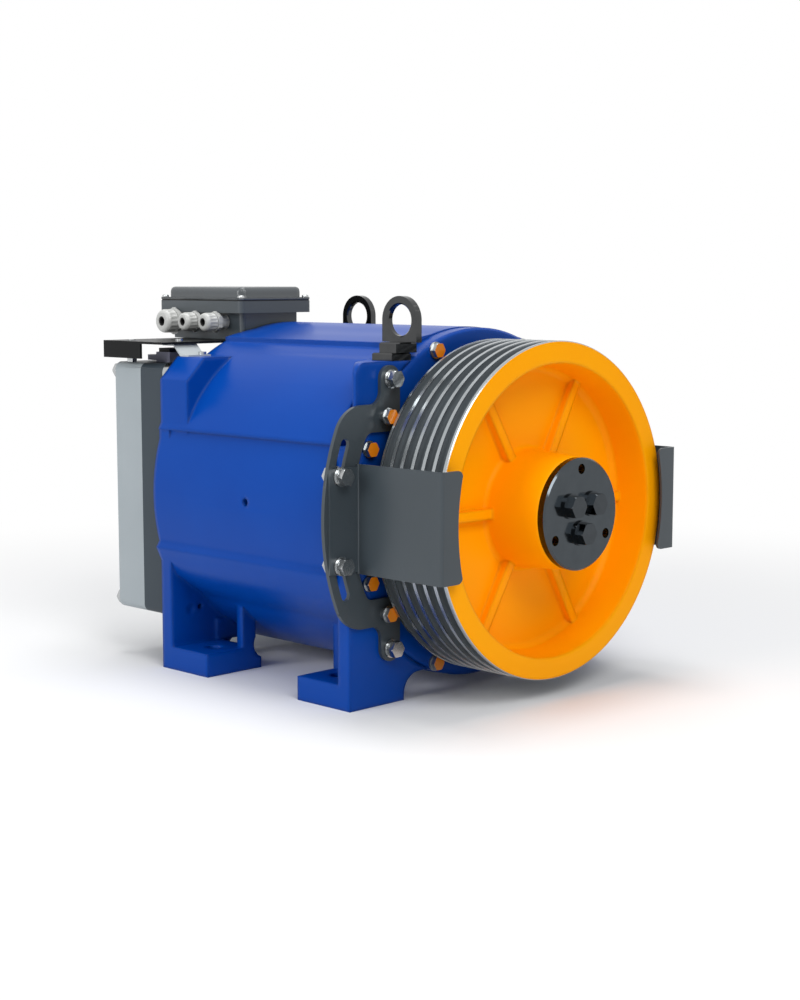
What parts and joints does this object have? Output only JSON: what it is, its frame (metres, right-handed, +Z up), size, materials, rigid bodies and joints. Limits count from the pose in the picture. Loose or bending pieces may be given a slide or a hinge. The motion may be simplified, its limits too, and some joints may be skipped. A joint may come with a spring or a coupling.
{
  "type": "elevator traction machine",
  "caption": "Gearless elevator traction machine with a grooved rope sheave, rope guards, lifting eyes, a spring-applied disc brake and a terminal box on a cast housing with feet.",
  "frame": {"origin": "centre of the foot bolt pattern on the plane of the feet", "axes": "+Z up, +Y along the shaft from the sheave to the brake, +X across"},
  "size_m": [0.524, 0.685, 0.485],
  "materials": {
    "blue_paint": "gloss",
    "orange_paint": "gloss",
    "dark_paint": "satin",
    "light_paint": "satin",
    "black_sheet": "satin",
    "box_paint": "satin",
    "zinc": "satin",
    "steel": "satin",
    "black_steel": "satin",
    "copper": "satin",
    "magnet": "matt",
    "lining": "matt",
    "light_plastic": "satin",
    "rubber": "matt",
    "black_plastic": "satin"
  },
  "bodies": {
    "frame": {"housing": "blue_paint", "front_shield": "blue_paint", "rear_shield": "blue_paint", "front_shield_bolts": "zinc", "rear_shield_bolts": "zinc", "front_seal": "rubber", "front_bearing_cap": "zinc", "front_bearing_outer": "zinc", "rear_bearing_outer": "zinc", "stator_core": "steel", "windings": "copper", "bracket_left": "dark_paint", "bracket_right": "dark_paint", "bracket_bolts": "zinc", "lifting_eye_front": "black_steel", "lifting_eye_rear": "black_steel", "terminal_box": "box_paint", "terminal_box_lid": "box_paint", "lid_screws": "zinc", "lid_gasket": "rubber", "terminal_block": "light_plastic", "gland_bodies": "light_plastic", "gland_nuts": "light_plastic", "gland_seals": "rubber", "roof_plate": "black_sheet", "roof_tabs": "light_paint", "roof_posts": "zinc", "roof_screws": "zinc", "brake_frame": "dark_paint", "brake_magnet": "light_paint", "brake_coils": "copper", "brake_springs": "steel", "guide_pins": "zinc", "brake_sleeves": "zinc", "brake_bolts": "zinc", "brake_switches": "black_plastic", "encoder_housing": "black_plastic"},
    "rotor": {"shaft": "steel", "sheave": "orange_paint", "sheave_key": "zinc", "hub_plate": "black_steel", "hub_bolts": "black_steel", "rotor_core": "steel", "magnets": "magnet", "front_bearing_inner": "zinc", "rear_bearing_inner": "zinc", "brake_disc": "lining", "brake_hub": "steel", "encoder_disc": "steel"},
    "front_cage": {"front_bearing_balls": "zinc"},
    "rear_cage": {"rear_bearing_balls": "zinc"},
    "left_guard": {"guard_left": "dark_paint", "guard_left_bolts": "zinc"},
    "right_guard": {"guard_right": "dark_paint", "guard_right_bolts": "zinc"},
    "left_armature": {"armature_left": "steel"},
    "right_armature": {"armature_right": "steel"}
  },
  "joints": [
    {"name": "shaft_spin", "type": "hinge", "parent": "frame", "child": "rotor", "pos_m": [0, 0, 0.225], "axis": [0, 1, 0], "continuous": true},
    {"name": "front_cage_spin", "type": "hinge", "parent": "frame", "child": "front_cage", "pos_m": [0, 0, 0.225], "axis": [0, 1, 0], "continuous": true},
    {"name": "rear_cage_spin", "type": "hinge", "parent": "frame", "child": "rear_cage", "pos_m": [0, 0, 0.225], "axis": [0, 1, 0], "continuous": true},
    {"name": "left_guard_swing", "type": "hinge", "parent": "frame", "child": "left_guard", "pos_m": [0, 0, 0.225], "axis": [0, 1, 0], "range_deg": [-8, 8]},
    {"name": "right_guard_swing", "type": "hinge", "parent": "frame", "child": "right_guard", "pos_m": [0, 0, 0.225], "axis": [0, 1, 0], "range_deg": [-8, 8]},
    {"name": "left_brake_release", "type": "slide", "parent": "frame", "child": "left_armature", "axis": [0, 1, 0], "range_m": [0, 0.0004], "stiffness_N_per_m": 30000, "springref_m": -0.0005},
    {"name": "right_brake_release", "type": "slide", "parent": "frame", "child": "right_armature", "axis": [0, 1, 0], "range_m": [0, 0.0004], "stiffness_N_per_m": 30000, "springref_m": -0.0005}
  ],
  "couplings": [
    {"joint": "front_cage_spin", "follows": "shaft_spin", "ratio": 0.404},
    {"joint": "rear_cage_spin", "follows": "shaft_spin", "ratio": 0.412}
  ]
}
